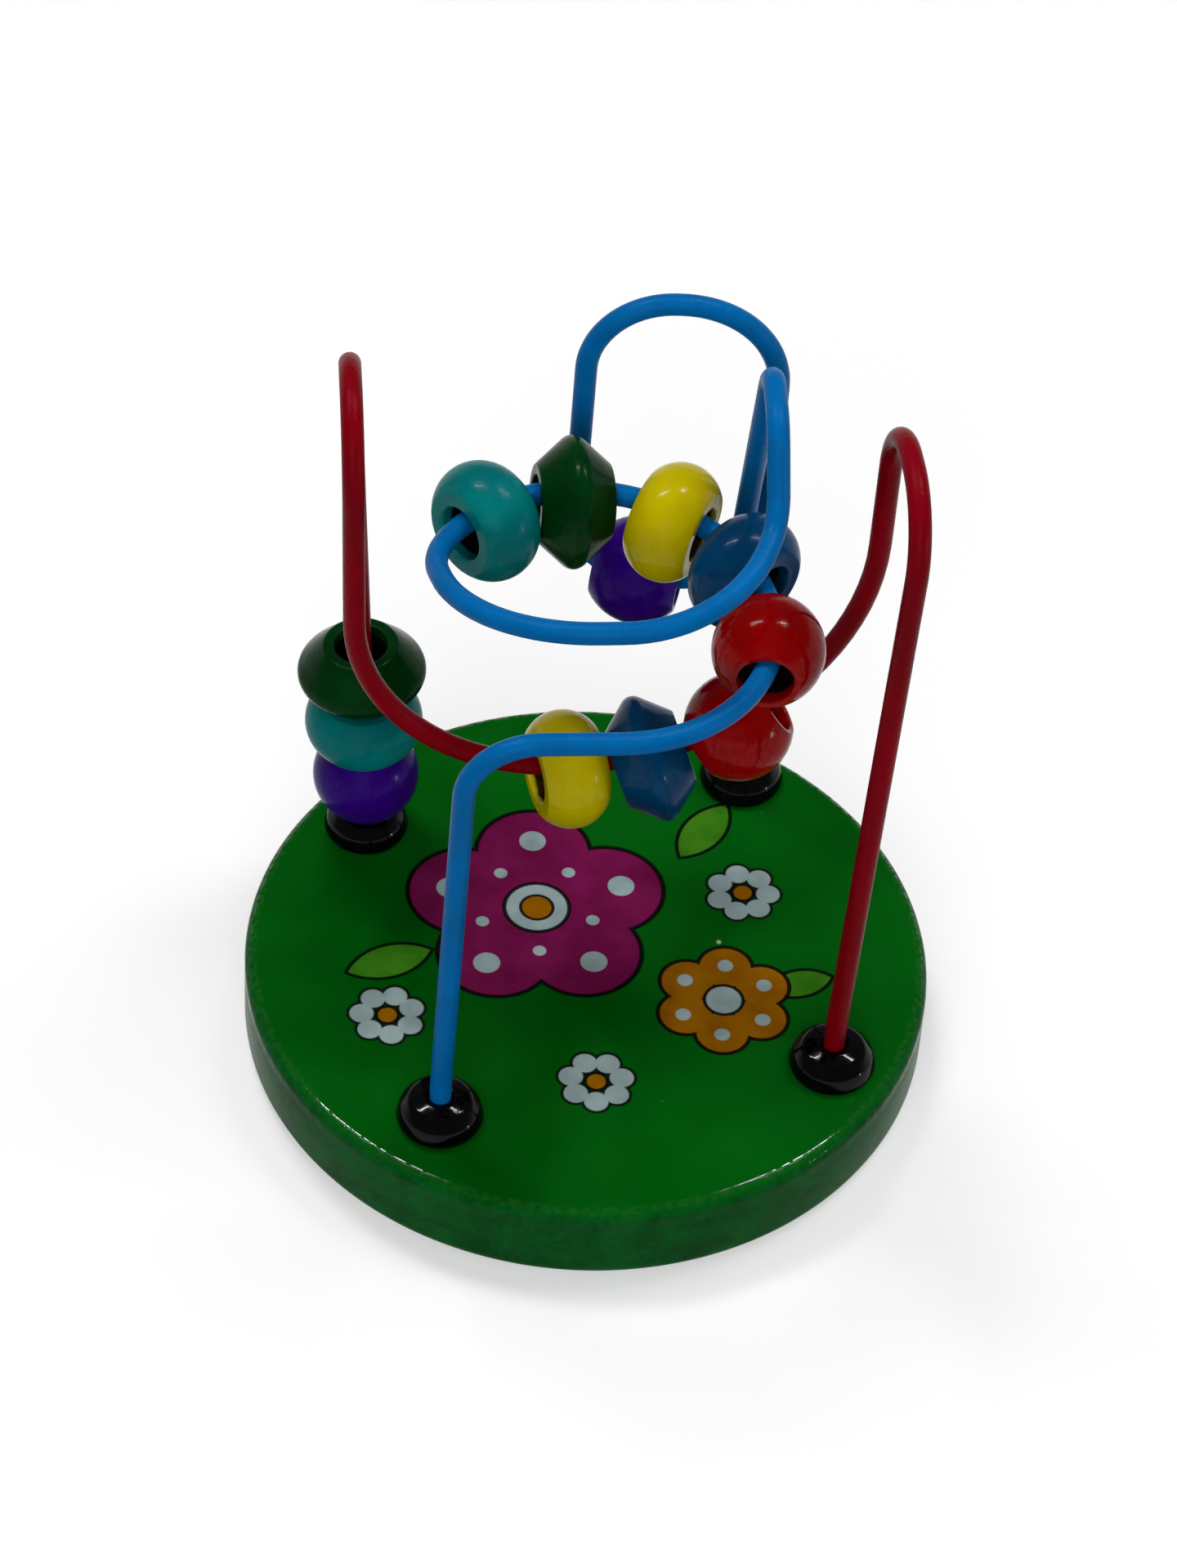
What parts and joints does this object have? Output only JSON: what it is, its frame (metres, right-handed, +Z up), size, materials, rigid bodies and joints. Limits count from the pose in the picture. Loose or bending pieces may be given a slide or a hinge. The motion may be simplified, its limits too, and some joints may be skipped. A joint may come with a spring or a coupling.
{
  "type": "bead maze toy",
  "caption": "Small wooden bead maze: a round green base carries two bent wires, red and blue, along which painted wooden beads slide.",
  "frame": {"origin": "centre of the underside of the base disc, on the surface the toy stands on", "axes": "+Z up; -Y towards the viewer of the picture (front); +X to the right"},
  "size_m": [0.096, 0.096, 0.113],
  "materials": {
    "base_green": "glossy green lacquer",
    "cap_black": "gloss black",
    "wire_red": "satin red paint",
    "wire_blue": "satin blue paint",
    "bead_purple": "gloss purple paint",
    "bead_teal": "gloss teal paint",
    "bead_green": "gloss dark green paint",
    "bead_yellow": "gloss yellow paint",
    "bead_blue": "gloss dark blue paint",
    "bead_red": "gloss red paint"
  },
  "bodies": {
    "frame": {"base_disc": "base_green", "ferrule_front_right": "cap_black", "ferrule_back_right": "cap_black", "ferrule_back_left": "cap_black", "ferrule_front_left": "cap_black", "red_wire": "wire_red", "blue_wire": "wire_blue"},
    "stack_ball_purple": {"stack_ball_purple": "bead_purple"},
    "stack_drum_teal": {"stack_drum_teal": "bead_teal"},
    "stack_cone_green": {"stack_cone_green": "bead_green"},
    "valley_drum_yellow": {"valley_drum_yellow": "bead_yellow"},
    "valley_cone_blue": {"valley_cone_blue": "bead_blue"},
    "valley_ball_red": {"valley_ball_red": "bead_red"},
    "coil_ball_red": {"coil_ball_red": "bead_red"},
    "coil_drum_blue": {"coil_drum_blue": "bead_blue"},
    "coil_drum_yellow": {"coil_drum_yellow": "bead_yellow"},
    "coil_cone_green": {"coil_cone_green": "bead_green"},
    "coil_drum_teal": {"coil_drum_teal": "bead_teal"},
    "back_ball_purple": {"back_ball_purple": "bead_purple"}
  },
  "joints": [
    {"name": "stack_purple_lift", "type": "slide", "parent": "frame", "child": "stack_ball_purple", "axis": [-0.0419, -0.0058, 0.9991], "range_m": [0, 0.012]},
    {"name": "stack_teal_lift", "type": "slide", "parent": "stack_ball_purple", "child": "stack_drum_teal", "axis": [-0.0419, -0.0058, 0.9991], "range_m": [0, 0.014]},
    {"name": "stack_green_lift", "type": "slide", "parent": "stack_drum_teal", "child": "stack_cone_green", "axis": [-0.0419, -0.0058, 0.9991], "range_m": [0, 0.018]},
    {"name": "valley_yellow_run", "type": "hinge", "parent": "frame", "child": "valley_drum_yellow", "pos_m": [-0.00477, 0.00313, 0.08714], "axis": [0.1467, -0.9892, -0.0012], "range_deg": [0, 10]},
    {"name": "valley_blue_run", "type": "hinge", "parent": "valley_drum_yellow", "child": "valley_cone_blue", "pos_m": [-0.00477, 0.00313, 0.08714], "axis": [0.1467, -0.9892, -0.0012], "range_deg": [0, 10]},
    {"name": "valley_red_run", "type": "hinge", "parent": "valley_cone_blue", "child": "valley_ball_red", "pos_m": [-0.00477, 0.00313, 0.08714], "axis": [0.1467, -0.9892, -0.0012], "range_deg": [0, 14]},
    {"name": "coil_teal_run", "type": "hinge", "parent": "frame", "child": "coil_drum_teal", "pos_m": [-0.0015, -0.006, 0.085], "axis": [-0.0785, 0, -0.9969], "range_deg": [0, 8]},
    {"name": "coil_green_run", "type": "hinge", "parent": "coil_drum_teal", "child": "coil_cone_green", "pos_m": [-0.0015, -0.006, 0.085], "axis": [-0.0785, 0, -0.9969], "range_deg": [0, 10]},
    {"name": "coil_yellow_run", "type": "hinge", "parent": "coil_cone_green", "child": "coil_drum_yellow", "pos_m": [-0.0015, -0.006, 0.085], "axis": [-0.0785, 0, -0.9969], "range_deg": [0, 12]},
    {"name": "coil_blue_run", "type": "hinge", "parent": "coil_drum_yellow", "child": "coil_drum_blue", "pos_m": [-0.0015, -0.006, 0.085], "axis": [-0.0785, 0, -0.9969], "range_deg": [0, 12]},
    {"name": "coil_red_run", "type": "hinge", "parent": "coil_drum_blue", "child": "coil_ball_red", "pos_m": [-0.0015, -0.006, 0.085], "axis": [-0.0785, 0, -0.9969], "range_deg": [0, 14]},
    {"name": "back_purple_run", "type": "hinge", "parent": "frame", "child": "back_ball_purple", "pos_m": [0.00415, 0.03026, 0.06799], "axis": [0.0665, 0.9968, -0.044], "range_deg": [0, 45]}
  ]
}
